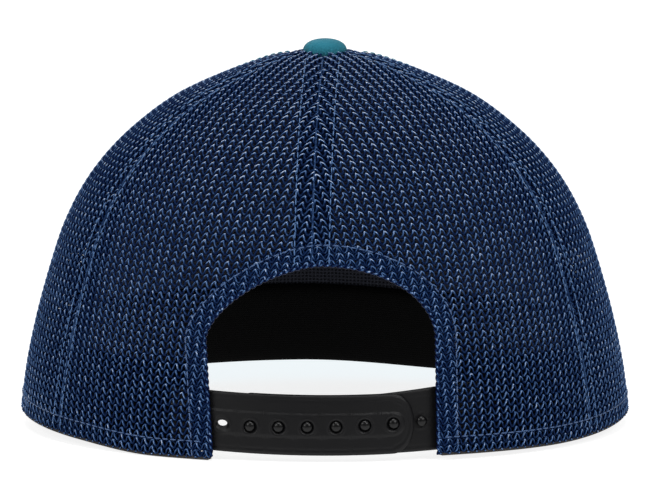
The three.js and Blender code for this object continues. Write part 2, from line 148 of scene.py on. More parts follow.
def travelled(points):
    """Length travelled along a line of points at each of them, starting at nought."""
    return np.append(0, np.cumsum(np.linalg.norm(np.diff(points, axis=0), axis=-1)))


def quads(a, b, c, d):
    """Four-cornered faces from four equal grids that hold their first to fourth corners."""
    return np.stack([a.ravel(), b.ravel(), c.ravel(), d.ravel()], -1)


def wall(outer, inner):
    """A closed wall between two grids of points, rows up and columns round the cap: both grids'
    quads, the inner ones turned round, and one band of quads that joins their borders."""
    index = np.arange(outer.shape[0] * outer.shape[1]).reshape(outer.shape[:2])
    face = quads(index[:-1, :-1], index[:-1, 1:], index[1:, 1:], index[1:, :-1])
    border = np.concatenate([index[0], index[1:, -1], index[-1, -2::-1], index[-2:0:-1, 0]])
    following = np.roll(border, -1)
    rim = quads(following, border, border + index.size, following + index.size)
    points = np.concatenate([outer.reshape(-1, 3), inner.reshape(-1, 3)])
    return points, np.concatenate([face, face[:, ::-1] + index.size, rim])


def add_piece(name, points, faces, material, uv=None, tone=None):
    """Makes a piece from points in millimetres and four-cornered faces, with an optional flat cloth
    coordinate in millimetres and an optional shade value at each point."""
    faces = np.asarray(faces).reshape(-1, 4)
    used = np.zeros(len(points), bool)
    used[faces.ravel()] = True
    place = np.cumsum(used) - 1
    mesh = bpy.data.meshes.new(name)
    mesh.vertices.add(int(used.sum()))
    mesh.vertices.foreach_set("co", (points[used] / 1000).ravel())
    mesh.loops.add(faces.size)
    mesh.loops.foreach_set("vertex_index", place[faces].ravel())
    mesh.polygons.add(len(faces))
    mesh.polygons.foreach_set("loop_start", np.arange(0, faces.size, 4))
    mesh.polygons.foreach_set("use_smooth", np.ones(len(faces), bool))
    if uv is not None:
        mesh.uv_layers.new(name="cloth").data.foreach_set("uv", uv.reshape(-1, 2)[faces].ravel())
    if tone is not None:
        mesh.attributes.new("tone", "FLOAT", "POINT").data.foreach_set("value", tone[used])
    mesh.update(calc_edges=True)
    mesh.materials.append(material)
    piece = bpy.data.objects.new(name, mesh)
    bpy.context.scene.collection.objects.link(piece)
    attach(piece, "root")
    return piece


def linear(colour):
    """An sRGB hex colour as linear red, green, blue and alpha."""
    share = np.array([colour >> 16, colour >> 8 & 255, colour & 255]) / 255
    return (*np.where(share <= 0.04045, share / 12.92, ((share + 0.055) / 1.055) ** 2.4), 1.0)


def add_node(material, kind, inputs=None, **settings):
    """Adds a node with its settings, and gives each named input a value or another node's output."""
    tree = material.node_tree
    node = tree.nodes.new("ShaderNode" + kind)
    for name, value in settings.items():
        setattr(node, name, value)
    for name, value in (inputs or {}).items():
        if isinstance(value, bpy.types.NodeSocket):
            tree.links.new(value, node.inputs[name])
        else:
            node.inputs[name].default_value = value
    return node


def new_material(name, colour, **values):
    """A material whose shader has one colour and the given values on its own sockets."""
    material = bpy.data.materials.new(name)
    material.use_nodes = True
    shader = material.node_tree.nodes["Principled BSDF"]
    shader.inputs["Base Color"].default_value = linear(colour)
    for socket, value in values.items():
        shader.inputs[socket.replace("_", " ")].default_value = value
    return material, shader


def add_weave(material, shader, thread, relief, slant=False):
    """Two sets of waves on the cloth coordinate, crossing as warp and weft do, lift the surface. A
    wave texture repeats every 0.314 units, or 0.628 along its diagonal, at scale 1."""
    cloth = add_node(material, "UVMap", uv_map="cloth").outputs["UV"]
    pattern = {"Vector": cloth, "Scale": (0.628 if slant else 0.314) / thread, "Distortion": 0.4}
    first, second = ("DIAGONAL", "Y") if slant else ("X", "Y")
    warp = add_node(material, "TexWave", pattern, bands_direction=first)
    weft = add_node(material, "TexWave", {**pattern, "Scale": 0.314 / thread}, bands_direction=second)
    height = add_node(material, "Math", {0: warp.outputs["Fac"], 1: weft.outputs["Fac"]}, operation="MAXIMUM")
    bump = add_node(material, "Bump", {"Height": height.outputs[0], "Distance": relief / 1000})
    material.node_tree.links.new(bump.outputs["Normal"], shader.inputs["Normal"])
    return height.outputs[0]


def add_mottle(material, shader, dark, light, grain):
    """The base colour wanders between two colours over soft patches of a given size."""
    place = add_node(material, "TexCoord").outputs["Object"]
    noise = add_node(material, "TexNoise", {"Vector": place, "Scale": 1000 / grain, "Detail": 3.0})
    share = noise.outputs["Fac"]
    mix = add_node(material, "Mix", {0: share, 6: linear(dark), 7: linear(light)}, data_type="RGBA")
    material.node_tree.links.new(mix.outputs[2], shader.inputs["Base Color"])


# Woven polyester, piece-dyed teal: threads about 0.4 mm apart, drawn at 0.7 mm so that they show. The
# floats of the twill give a soft sheen at grazing angles.
front_cloth, front_shader = new_material(
    "Teal woven polyester", 0x1C7F92, Roughness=0.8, IOR=1.5, Sheen_Weight=0.12, Sheen_Roughness=0.4,
)
front_shader.inputs["Sheen Tint"].default_value = linear(0x9CD3DC)
add_weave(front_cloth, front_shader, 0.7, 0.12, slant=True)
add_mottle(front_cloth, front_shader, 0x0E7085, 0x187E94, 9)

panel_wall, seam_groove, seam_groove_width = 2.0, 0.7, 1.3
pucker_height, pucker_length, pucker_width, front_seam_row = 0.12, 5.2, 3.0, 5.6


def smooth(share):
    """An even rise from nought to one with level ends: three squares less two cubes of the share."""
    share = np.clip(share, 0, 1)
    return share * share * (3 - 2 * share)


def gore_grid(first, last, columns, rows):
    """Angles and levels of a gore between two seams, its distance from the nearer seam, and its flat
    cloth coordinates: the length up its middle and the width from its middle at each level."""
    share, level = np.meshgrid(np.linspace(0, 1, columns), np.linspace(0, top_level, rows))
    angle = np.radians(first) + np.radians(last - first) * share
    points = crown_surface(angle, level)
    across = np.linalg.norm(np.diff(points, axis=1), axis=-1).sum(1)[:, None]
    from_seam = across * np.minimum(share, 1 - share)
    up = travelled(points[:, columns // 2])[:, None]
    uv = np.stack([across * (share - 0.5), up + 0 * share], -1)
    return angle, level, from_seam, uv


for side, first, last in (("right", 120, 180), ("left", 180, 240)):
    angle, level, from_seam, uv = gore_grid(first, last, 64, 84)
    dip = seam_groove * np.exp(-((from_seam / seam_groove_width) ** 2))
    near_stitches = np.exp(-((from_seam - front_seam_row) / pucker_width) ** 2)
    pucker = pucker_height * np.sin(uv[..., 1] * 2 * np.pi / pucker_length) * near_stitches
    outer, _ = crown_at(angle, level, dip + pucker)
    inner, _ = crown_at(angle, level, panel_wall)
    points, faces = wall(outer, inner)
    piece = add_piece("front_cloth_" + side, points, faces, front_cloth, np.tile(uv, (2, 1, 1)))
    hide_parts("front_panel_" + side)

# Front lining
# Black stiffening cloth with an open square weave inside both front panels. It shows through the rear
# opening as a dark grey band above the sweatband.

lining_depth, lining_wall, lining_setback = 2.3, 0.8, 0.3

# Cotton stiffened with resin: dull, with coarse grey threads and near black between them
lining_cloth, lining_shader = new_material(
    "Black open-woven stiffener", 0x0E0E11, Roughness=0.9, IOR=1.5, Specular_IOR_Level=0.08)
lining_height = add_weave(lining_cloth, lining_shader, 1.3, 0.35)
lining_mix = add_node(
    lining_cloth, "Mix", {0: lining_height, 6: linear(0x0B0B0E), 7: linear(0x2E3038)}, data_type="RGBA",
)
lining_cloth.node_tree.links.new(lining_mix.outputs[2], lining_shader.inputs["Base Color"])

angle, level, _, uv = gore_grid(120 + lining_setback, 240 - lining_setback, 60, 50)
level = 0.01 + 0.95 * level
outer, _ = crown_at(angle, level, lining_depth)
inner, _ = crown_at(angle, level, lining_depth + lining_wall)
points, faces = wall(outer, inner)
piece = add_piece("stiffening_lining", points, faces, lining_cloth, np.tile(uv, (2, 1, 1)))
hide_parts("front_lining")

# Mesh panels
# Four gores of navy polyester warp knit. A thick yarn zigzags along each course and a finer one ties the
# turns together, which leaves a round hole under each peak and a three-cornered one over each valley.

wale, course = 3.2, 2.35
opening_half_width, opening_spring, opening_top = 37.3, 39.7, 64.1
lean_left, lean_right = 2.3, -0.6
arch_power_left, arch_power_right = 1.6, 2.0
back_seam = -2.8
mesh_groove, top_swell, collar, button_foot = 0.3, 1.0, 0.7, 6.6

# One wale of the zigzag: place along the course, place up the panel, lift off the panel, yarn radius, and the
# painted highlight on the yarn's crest where the panel stands upright and where it lies flat
zigzag = np.array([
    (-3.2, 0.0, 0.38, 0.44, 0.66, 1.0),
    (-2.66, -0.1, 0.28, 0.36, 0.4, 1.0),
    (-2.1, -0.6, 0.16, 0.35, 0.3, 0.8),
    (-1.8, -1.45, 0.04, 0.36, 0.28, 0.3),
    (-1.5, -2.2, -0.08, 0.4, 0.25, 0.1),
    (-1.0, -2.1, 0.04, 0.42, 0.4, 0.3),
    (-0.5, -1.55, 0.18, 0.43, 0.66, 0.3),
    (-0.2, -0.9, 0.3, 0.43, 0.78, 0.3),
    (-0.02, -0.35, 0.38, 0.44, 0.76, 0.8),
])
# The ties carry no painted highlight, so apart from random variation they stay near black: painted shade
tie = np.array([
    (-3.2, -0.05, -0.45, 0.32, 0, 0),
    (-1.6, 0.15, -0.55, 0.32, 0, 0),
])
lower_tie = tie + [0.8, -1.15, 0, 0.24, 0, 0]

# The side panels are a little denser, and the painted highlights on their yarn's crests are more even
side_zigzag = zigzag * [1, 1, 1, 1, 0.8, 1] + [0, 0, 0, 0, 0.18, 0]
side_tie = tie + [0, 0, 0, 0.11, 0, 0]

# How far the yarn strays in millimetres, and how much its painted highlight varies at random from course to
# course and along it
yarn_wander, course_shade, point_shade = 0.065, 0.015, 0.13
yarn_random = np.random.default_rng(11)


def tubes(path, normal, radius, sides):
    """Tubes along many paths at once: a ring round each point of a path, turned between the normal
    and the sideways direction. Where the radius is nought the tube closes to a point."""
    tangent = np.gradient(path, axis=1)
    tangent /= np.linalg.norm(tangent, axis=-1, keepdims=True)
    sideways = np.cross(tangent, normal)
    sideways /= np.linalg.norm(sideways, axis=-1, keepdims=True)
    outward = np.cross(sideways, tangent)
    turn = 2 * np.pi * np.arange(sides)[:, None] / sides
    ring = np.cos(turn) * outward[:, :, None] + np.sin(turn) * sideways[:, :, None]
    points = path[:, :, None] + radius[:, :, None, None] * ring
    index = np.arange(points.size // 3).reshape(points.shape[:3])
    following = np.roll(index, -1, axis=2)
    shown = (radius[:, :-1] > 0) | (radius[:, 1:] > 0)
    low, high = index[:, :-1][shown], index[:, 1:][shown]
    low_next, high_next = following[:, :-1][shown], following[:, 1:][shown]
    return points.reshape(-1, 3), quads(low, low_next, high_next, high)


def join(*parts):
    """Several lots of points and faces as one."""
    starts = np.cumsum([0] + [len(points) for points, _ in parts[:-1]])
    return np.concatenate([p for p, _ in parts]), np.concatenate([f + s for (_, f), s in zip(parts, starts)])


def beyond_opening(x, z):
    """Distance outside the rear opening's outline. Beside the opening it is taken from the leaning
    edge, and over the spring line along the ray from the arch's centre, a superellipse."""
    rise = np.clip(z / opening_spring, 0, 1)
    beside = np.where(x > 0, x - lean_left * rise, -x - lean_right * rise) - opening_half_width
    across = x - (lean_left - lean_right) / 2
    up = z - opening_spring
    half_span = opening_half_width + (lean_left + lean_right) / 2
    power = np.where(across > 0, arch_power_left, arch_power_right)
    reach = (
        np.abs(across / half_span) ** power
        + np.clip(up / (opening_top - opening_spring), 0, None) ** power
    ) ** (1 / power)
    over = np.hypot(across, up) * (1 - 1 / np.maximum(reach, 1e-6))
    return np.where(up < 0, beside, over)


def swell(level):
    """How far the mesh stands out towards the button, where the allowances of its seams pile up."""
    return top_swell * smooth((level - 0.8) / 0.12) + collar * smooth((level - 0.92) / 0.03)


def knit(first, last, towards, yarn, sides, depth, keep):
    """One yarn of the knit over a gore. Its table repeats along each course; a step along the course
    turns the angle by the step over the parallel's radius at the gore's middle, and a step up the
    gore follows the length of its middle line, counted from the rim. Yarn that is cut off ends in a
    short blunt point."""
    middle, half_span = np.radians(first + last) / 2, np.radians(last - first) / 2
    levels = np.linspace(-0.03, top_level, 240)
    length = travelled(crown_surface(middle, levels))
    length -= np.interp(0, levels, length)
    step = 1e-3
    across = crown_surface(middle + step, levels) - crown_surface(middle - step, levels)
    parallel = np.linalg.norm(across, axis=-1) / (2 * step)
    cells = int(half_span * parallel.max() / wale) + 2
    start = wale * np.arange(-cells, cells + 1)
    along = (start[:, None] + yarn[:, 0]).ravel()
    up, lift, radius, highlight, flat_highlight = (np.tile(column, len(start)) for column in yarn[:, 1:].T)
    courses = course * np.arange(0, int(length[-1] / course) + 2)
    wander = yarn_random.normal(0, yarn_wander, (2, len(courses), len(along)))
    s = towards * (along + wander[0])
    t = courses[:, None] + up + wander[1]
    level = np.interp(t, length, levels)
    angle = middle + s / np.interp(t, length, parallel)
    from_seam = (half_span - np.abs(angle - middle)) * np.interp(t, length, parallel)
    dip = mesh_groove * np.exp(-((from_seam / seam_groove_width) ** 2))
    path, normal = crown_at(angle, level, depth + dip - lift - swell(level))
    from_button = np.hypot(path[..., 0], path[..., 1] - crown_middle_y)
    inside = (from_seam > -0.1) & (t > -0.3) & (from_button > button_foot - 1) & keep(path, t)
    for beside in (1, -1):
        cut = ~inside & np.roll(inside, beside, axis=1)
        neighbour = np.roll(path, beside, axis=1)
        path = np.where(cut[..., None], neighbour + 0.25 * (path - neighbour), path)
    # Painted highlight: the crest takes the upright value on a standing panel and the flat value where the
    # panel tilts up towards light from above
    highlight = highlight + (flat_highlight - highlight) * np.clip(1.5 * normal[..., 2], 0, 1)
    highlight = highlight + yarn_random.normal(0, course_shade, (len(courses), 1))
    highlight = highlight + yarn_random.normal(0, point_shade, t.shape)
    # The painted highlight lies along each tube's outward crest; its flanks keep a low tone, painted shade
    # near black
    crest_highlight = np.clip(np.cos(2 * np.pi * np.arange(sides) / sides), 0, 1) ** 1.6
    tone = 0.06 + 0.94 * np.clip(highlight, 0, 1)[..., None] * crest_highlight
    points, faces = tubes(path, normal, radius * inside, sides)
    return points, faces, tone.ravel()


# Smooth filament polyester yarn, solution-dyed navy. Its filaments lie parallel; the crisp pale blue light on
# the turns of the loops is a painted highlight, and the near black of the yarn's depth is painted shade, both
# read from the tone through a ramp.
yarn_cloth, yarn_shader = new_material(
    "Navy polyester yarn", 0x24385C, Roughness=0.4, IOR=1.6, Specular_IOR_Level=0.04,
)
yarn_tone = add_node(yarn_cloth, "Attribute", attribute_name="tone", attribute_type="GEOMETRY")
yarn_ramp = add_node(yarn_cloth, "ValToRGB", {"Fac": yarn_tone.outputs["Fac"]})
yarn_ramp.color_ramp.elements.new(0.35)
yarn_ramp.color_ramp.elements.new(0.72)
for stop, colour in zip(yarn_ramp.color_ramp.elements, (0x000B30, 0x11294F, 0x5A7CAC, 0xF2F8FF)):
    stop.color = linear(colour)
yarn_cloth.node_tree.links.new(yarn_ramp.outputs["Color"], yarn_shader.inputs["Base Color"])

# Place and side of each mesh gore, the degrees between which it lies, and which way its turns lean
mesh_gores = (
    ("back", "right", back_seam, 60, 1),
    ("side", "right", 60, 120, 1),
    ("side", "left", 240, 300, -1),
    ("back", "left", 300, 360 + back_seam, -1),
)
knit_depth, fold_depth, rim_fold_height = 0.75, 1.7, 5.2


def in_mesh(path, t):
    """Where a gore has yarn: everywhere outside the rear opening."""
    return beyond_opening(path[..., 0], path[..., 2]) > 0.5


def in_rim_fold(path, t):
    """Where the gore is turned in: a low stretch along the rim."""
    return in_mesh(path, t) & (t < rim_fold_height)


for place, side, first, last, towards in mesh_gores:
    at_back = place == "back"

    # Each yarn: which way it leans, its wale, the sides of its tube, its depth, and where it is kept
    yarns = [
        (towards, zigzag if at_back else side_zigzag, 5 if at_back else 4, knit_depth, in_mesh),
        (towards, tie if at_back else side_tie, 4, knit_depth, in_mesh),
        (-towards, zigzag, 3, fold_depth, in_rim_fold),
    ]
    if not at_back:
        yarns.append((towards, lower_tie, 4, knit_depth, in_mesh))
    lots = [knit(first, last, *yarn) for yarn in yarns]
    points, faces = join(*(lot[:2] for lot in lots))
    tone = np.concatenate([lot[2] for lot in lots])
    piece = add_piece(f"knit_{place}_{side}", points, faces, yarn_cloth, tone=tone)
    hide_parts(f"{place}_mesh_{side}")

# Seams
# The gores are sewn face to face, and a woven tape inside covers each seam. Two needles sew it down at
# once, which leaves twin rows of stitches outside. The mesh seams' thread is a paler blue than the yarn.

stitch_length, stitch_pause, thread_radius, stitch_proud, stitch_top = 2.4, 0.5, 0.24, 0.05, 0.93
cord_radius, cord_depth, cord_top = 0.4, 0.9, 0.92
tape_half_width, tape_depth, tape_wall, tape_top = 6.6, 2.0, 0.5, 0.95


def stitches(path, normal, proud):
    """A row of stitches along a line: each is a short tube that bows out of the cloth and tapers into
    it at both ends, as half an ellipse."""
    length = travelled(path)
    count = int(length[-1] / (stitch_length + stitch_pause))
    share = np.linspace(0, 1, 6)
    place = (stitch_length + stitch_pause) * np.arange(count)[:, None] + stitch_length * share
    centre, out = (
        np.stack([np.interp(place, length, line[:, i]) for i in range(3)], -1) for line in (path, normal)
    )
    bow = np.sqrt(1 - (2 * share - 1) ** 2)
    centre = centre + ((proud + thread_radius * (bow - 0.6))[:, None] * out)
    return tubes(centre, out, np.broadcast_to(thread_radius * bow, place.shape), 5)


def seam_line(degrees, offset, low, high, depth):
    """A line up the crown at a seam, moved sideways by a distance: the angle changes by the distance
    over the parallel's radius. On the mesh the line swells with it towards the top."""
    level = np.linspace(low, high, 100)
    if not 120 <= degrees + np.sign(offset) <= 240:
        depth = depth - swell(level)
    angle = np.radians(degrees)
    step = 1e-3
    across = crown_surface(angle + step, level) - crown_surface(angle - step, level)
    reach = np.linalg.norm(across, axis=-1) / (2 * step)
    return crown_at(angle + offset / np.maximum(reach, 3 * abs(offset)), level, depth)


def level_at(angle, z):
    """Level at which the crown has a height, read backwards from the table's curve."""
    levels = np.linspace(-0.1, 0.95, 400)
    base = rim_height(angle) + band_show
    return np.interp((z - base) / (crown_height - base), table_curve(height_row, levels), levels)


def new_thread(name, colour):
    """Spun polyester sewing thread: slightly glossy, with a twist too fine to show."""
    thread, _ = new_material(
        name, colour, Roughness=0.5, IOR=1.55, Sheen_Weight=0.3, Sheen_Roughness=0.4)
    return thread


blue_thread = new_thread("Pale blue sewing thread", 0x426A9C)
navy_thread = new_thread("Navy sewing thread", 0x365684)
teal_thread = new_thread("Teal sewing thread", 0x338EA0)

# Woven polyester tape: dull, with a fine plain weave
tape_cloth, tape_shader = new_material(
    "Navy seam tape", 0x101A30, Roughness=0.9, IOR=1.5, Specular_IOR_Level=0.1)
add_weave(tape_cloth, tape_shader, 0.8, 0.15)

# Angle of each seam, the level it starts from, how far its stitches lie from it, its thread and slot
arch_level = float(level_at(0.0, opening_top + 1))
seams = (
    ("back", back_seam, arch_level, 5.8, blue_thread, "mesh"),
    ("side_right", 60, 0.01, 2.3, blue_thread, "mesh"),
    ("side_left", 300, 0.01, 2.3, blue_thread, "mesh"),
    ("front_right", 120, 0.01, 2.3, teal_thread, "mesh"),
    ("front_left", 240, 0.01, 2.3, teal_thread, "mesh"),
    ("front", 180, 0.01, front_seam_row, teal_thread, "front_cloth"),
)
for name, degrees, low, seam_row, thread, slot in seams:
    lines = [seam_line(degrees, offset, low, stitch_top, 0.0) for offset in (-seam_row, seam_row)]
    rows = [stitches(path, normal, stitch_proud) for path, normal in lines]
    piece = add_piece("stitches_" + name, *join(*rows), thread)
    if name == "front":
        continue
    path, normal = seam_line(degrees, 0.0, low, cord_top, cord_depth)
    radius = np.full(len(path), cord_radius)
    radius[[0, -1]] = 0
    cord = tubes(path[None], normal[None], radius[None], 6)
    tone = 0.3 + 0.2 * yarn_random.random(len(path) * 6)
    piece = add_piece("seam_" + name, *cord, yarn_cloth, tone=tone)
    across = np.linspace(-tape_half_width, tape_half_width, 9)
    strips = []
    for depth in (tape_depth, tape_depth + tape_wall):
        lines = [seam_line(degrees, offset, low, tape_top, depth)[0] for offset in across]
        strips.append(np.stack(lines, 1))
    flat = np.stack(np.broadcast_arrays(across, travelled(strips[0][:, 4])[:, None]), -1)
    piece = add_piece("tape_" + name, *wall(*strips), tape_cloth, uv=np.tile(flat, (2, 1, 1)))

# Hem of the rear opening
# The mesh is turned in round the opening and sewn down about 7 mm from its edge, so it is double there.
# Two plies of yarn twist round each other along the folded edge.

hem_width, hem_loop_pitch, hem_depth = 7.0, 2.3, 1.05
ply_reach, ply_radius, ply_depth, ply_inset = 0.38, 0.4, 0.75, 0.6
foot_left, foot_right = 1.2, 1.6


def wall_at(x, z, depth=0.0):
    """Points and normals of the crown's back wall at a depth, found by x and z: the level follows from
    the height and the angle from the half-width there, and both aims are corrected for the depth."""
    x, z, depth = np.broadcast_arrays(*(np.asarray(value, float) for value in (x, z, depth)))
    aim_x, aim_z = x.copy(), z.copy()
    angle = -np.arcsin(x / crown_half_width)
    for _ in range(6):
        level = level_at(angle, aim_z)
        angle = -np.arcsin(np.clip(aim_x / (crown_half_width * table_curve(side_row, level)), -1, 1))
        point, normal = crown_at(angle, level, depth)
        aim_x, aim_z = aim_x + x - point[..., 0], aim_z + z - point[..., 2]
    return point, normal


def opening_line(grow, pitch):
    """The opening's outline grown by a distance, from its left foot up, over the arch and down, at
    even steps: straight leaning sides and a quarter of a superellipse on each."""
    turn = np.linspace(0, np.pi, 400)
    power = np.where(turn < np.pi / 2, arch_power_left, arch_power_right)
    centre = (lean_left - lean_right) / 2
    half_span = opening_half_width + (lean_left + lean_right) / 2 + grow
    x = centre + half_span * np.sign(np.cos(turn)) * np.abs(np.cos(turn)) ** (2 / power)
    z = opening_spring + (opening_top + grow - opening_spring) * np.sin(turn) ** (2 / power)
    foot = opening_half_width + grow
    x = np.concatenate([[foot], x, [-foot]])
    z = np.concatenate([[foot_left], z, [foot_right]])
    length = travelled(np.stack([x, z], -1))
    place = np.arange(0, length[-1], pitch)
    return np.interp(place, length, x), np.interp(place, length, z)


x, z = opening_line(ply_inset, 0.25)
edge, edge_normal = wall_at(x, z, ply_depth)
tangent = np.gradient(edge, axis=0)
tangent /= np.linalg.norm(tangent, axis=-1, keepdims=True)
away = np.cross(tangent, edge_normal)
turn = np.pi / hem_loop_pitch * travelled(edge)[:, None] + np.array([0, np.pi])[:, None, None]
plies = edge + ply_reach * (np.cos(turn) * away + np.sin(turn) * edge_normal)
radius = np.full(plies.shape[:2], ply_radius)
radius[:, [0, -1]] = 0
edge_cord = tubes(plies, np.broadcast_to(edge_normal, plies.shape), radius, 6)
# Painted highlight on each ply where its twist turns outward, strongest on its outward crest and varied at
# random
cord_highlight = np.clip(np.sin(turn + 0.4), 0, 1)[..., 0] ** 2 * yarn_random.uniform(0.3, 1.0, plies.shape[:2])
cord_highlight = np.repeat(cord_highlight.ravel(), 6) * np.tile([1, 0.5, 0, 0, 0, 0.5], cord_highlight.size)


def in_hem(path, t):
    """Where the hem has its second layer: from the folded edge to just past the stitches."""
    out = beyond_opening(path[..., 0], path[..., 2])
    return (out > 0.2) & (out < hem_width + 0.6)


# The second layer's painted crest highlights are dimmed to 0.55 of the outer layer's
lots = [
    knit(first, last, -towards, yarn * [1, 1, 1, 1, 0.55, 0.55], 4, hem_depth, in_hem)
    for place, _, first, last, towards in mesh_gores if place == "back"
    for yarn in (zigzag, tie, lower_tie)
]
points, faces = join(edge_cord, *(lot[:2] for lot in lots))
tones = [cord_highlight] + [lot[2] for lot in lots]
piece = add_piece("opening_fold", points, faces, yarn_cloth, tone=np.concatenate(tones))
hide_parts("opening_hem")

x, z = opening_line(hem_width, 0.5)
piece = add_piece("stitches_opening", *stitches(*wall_at(x, z), 0.1), navy_thread)

# Degrees round the cap between which the fold at each side's rim is stitched
rim_stretches = ((22.5, 119.5), (240.5, 337.5))
rows = []
for first, last in rim_stretches:
    angle = np.radians(np.linspace(first, last, 400))
    level = level_at(angle, rim_height(angle) + band_show + rim_fold_height)
    rows.append(stitches(*crown_at(angle, level), stitch_proud))
piece = add_piece("stitches_rim", *join(*rows), navy_thread)

# Sweatband
# A band of black cotton twill folded over a thin foam and sewn inside the rim. Its lower edge is bound
# with a dark tape that shows as a thin line under the mesh.

sweatband_height, sweatband_end_rise, sweatband_wall, sweatband_setback = 28.0, 3.0, 1.5, 4.0
band_depth, band_inside_strap, band_inside_lining = 1.8, 3.3, 1.6
strap_end_angle, sewn_height = 0.574, 2.2
binding_start, binding_radius, binding_depth = 38.0, 0.6, 1.1

# Cotton twill: quite dull, with a slanting rib
sweatband_cloth, sweatband_shader = new_material(
    "Black cotton twill", 0x0B0B0B, Roughness=0.95, IOR=1.47, Specular_IOR_Level=0.08)
add_weave(sweatband_cloth, sweatband_shader, 0.8, 0.12, slant=True)
binding_cloth, binding_shader = new_material("Dark binding tape", 0x26221F, Roughness=0.85, IOR=1.5)
add_weave(binding_cloth, binding_shader, 0.8, 0.12)


def inside_wall(angle, z, depth):
    """A point level with a height on the crown and a depth inside it, moved in along the normal's
    level direction, so that its height stays."""
    point, normal = crown_at(angle, level_at(angle, z))
    normal = normal * (1, 1, 0)
    normal /= np.linalg.norm(normal, axis=-1, keepdims=True)
    return point - np.asarray(depth)[..., None] * normal, normal


def sweatband_depth(angle, up):
    """The band lies inside the strap's ends behind, the mesh at the sides and the lining in front.
    Behind, its lower edge bends out to the rim, where it is sewn down."""
    front_start, ease = np.radians(108), np.radians(12)
    from_back = np.minimum(angle, 2 * np.pi - angle)
    behind = band_inside_strap * (1 - smooth((from_back - strap_end_angle) / ease))
    ahead = band_inside_lining * smooth((from_back - front_start) / ease)
    return band_depth + behind * smooth(up / sewn_height) + ahead


right_end = np.arcsin((opening_half_width + sweatband_setback) / crown_half_width)
left_end = np.arcsin((opening_half_width + lean_left + sweatband_setback) / crown_half_width)
angle, share = np.meshgrid(np.linspace(right_end, 2 * np.pi - left_end, 160), np.linspace(0, 1, 18) ** 1.6)
belly = sweatband_wall * np.sqrt(1 - (2 * share - 1) ** 6)
from_strap = np.minimum(angle, 2 * np.pi - angle) - strap_end_angle
top = sweatband_height + sweatband_end_rise * (1 - smooth(from_strap / np.radians(60)))
z = rim_height(angle) + top * share
depth = sweatband_depth(angle, top * share)
outer, _ = inside_wall(angle, z, depth + 0.05)
inner, _ = inside_wall(angle, z, depth + 0.3 + 0.8 * belly)
mean_radius = (crown_half_width + crown_half_depth) / 2
flat = np.stack([angle * mean_radius, sweatband_height * share], -1)
piece = add_piece("sweatband_cloth", *wall(outer, inner), sweatband_cloth, uv=np.tile(flat, (2, 1, 1)))
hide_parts("sweatband")

binding_end = np.arcsin(binding_start / crown_half_width)
angle = np.linspace(binding_end, 2 * np.pi - binding_end, 400)
path, normal = inside_wall(angle, rim_height(angle) + binding_radius, binding_depth)
radius = np.full(len(path), binding_radius)
radius[[0, -1]] = 0
flat = np.repeat(np.stack([angle * mean_radius, 0 * angle], -1), 8, axis=0)
piece = add_piece("rim_binding", *tubes(path[None], normal[None], radius[None], 8), binding_cloth, uv=flat)

# Visor
# A stiff board between two layers of the front panels' cloth, sewn through in rows that follow its
# outer edge. Its inner edge is caught in the seam between the front panels and the sweatband.

visor_reach, visor_thickness, visor_spread, visor_corner = 66.0, 3.0, 2.0, 7.0
visor_roll, visor_seat, visor_power = 600.0, 1.8, 2.4
visor_rows = np.array([4.5, 11.0, 17.5, 24.0, 30.5])
visor_tuck, row_sink, row_half_width, edge_round = 0.8, 0.28, 0.9, 1.6


def visor_edges(u):
    """The visor's inner edge, tucked a little into the crown, and its outer edge, a superellipse
    round the corners where it leaves the crown."""
    seat = visor_seat + visor_thickness / 2
    angle = np.pi + np.radians(60) * (1 - 2 * u)
    inner, _ = inside_wall(angle, rim_height(angle) + seat, visor_tuck)
    last = np.radians(240.0)
    corner, _ = inside_wall(last, rim_height(last) + seat, -0.3)
    reach = crown_half_depth + visor_reach + (corner[1] - crown_middle_y) - visor_corner
    turn = np.pi / 2 * (1 - 2 * u)
    across = np.sign(np.sin(turn)) * np.abs(np.sin(turn)) ** (2 / visor_power)
    out = np.abs(np.cos(turn)) ** (2 / visor_power)
    x = (corner[0] + visor_spread) * across
    y = corner[1] - visor_corner - reach * out
    return inner[..., :2], np.stack([x, y], -1)


def visor_level(xy):
    """Height of the board's underside: level with its seat at the rim, rolled down to both sides as a
    cylinder, and falling evenly to the front until its lowest point is on the table."""
    seat = front_rim_lift + visor_seat
    rolled = seat - xy[..., 0] ** 2 / (2 * visor_roll)
    from_rim = (crown_middle_y - crown_half_depth - xy[..., 1]) / visor_reach
    _, outline = visor_edges(np.linspace(0, 1, 33))
    out = (crown_middle_y - crown_half_depth - outline[:, 1]) / visor_reach
    drops = (seat - outline[:, 0] ** 2 / (2 * visor_roll))[out > 0] / out[out > 0]
    return rolled - min(seat, drops.min()) * from_rim


u, v = np.meshgrid(np.linspace(0, 1, 96), np.linspace(0, 1, 96))
inner_edge, outer_edge = visor_edges(u)
xy = inner_edge + (outer_edge - inner_edge) * v[..., None]
reach = np.linalg.norm(outer_edge - inner_edge, axis=-1)
from_edge = reach * (1 - v)
round_off = visor_thickness / 2 * (1 - np.sqrt(1 - (1 - np.clip(from_edge / edge_round, 0, 1)) ** 2))
dips = sum(row_sink * np.exp(-(((from_edge - row) / row_half_width) ** 2)) for row in visor_rows)
under = visor_level(xy)
top = np.concatenate([xy, (under + visor_thickness - round_off - dips)[..., None]], -1)
bottom = np.concatenate([xy, (under + round_off + 0.4 * dips * (under > 0.5))[..., None]], -1)
points, faces = wall(top[:, ::-1], bottom[:, ::-1])
piece = add_piece("visor_cloth", points, faces[:, ::-1], front_cloth, uv=np.tile(xy[:, ::-1], (2, 1, 1)))
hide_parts("visor")

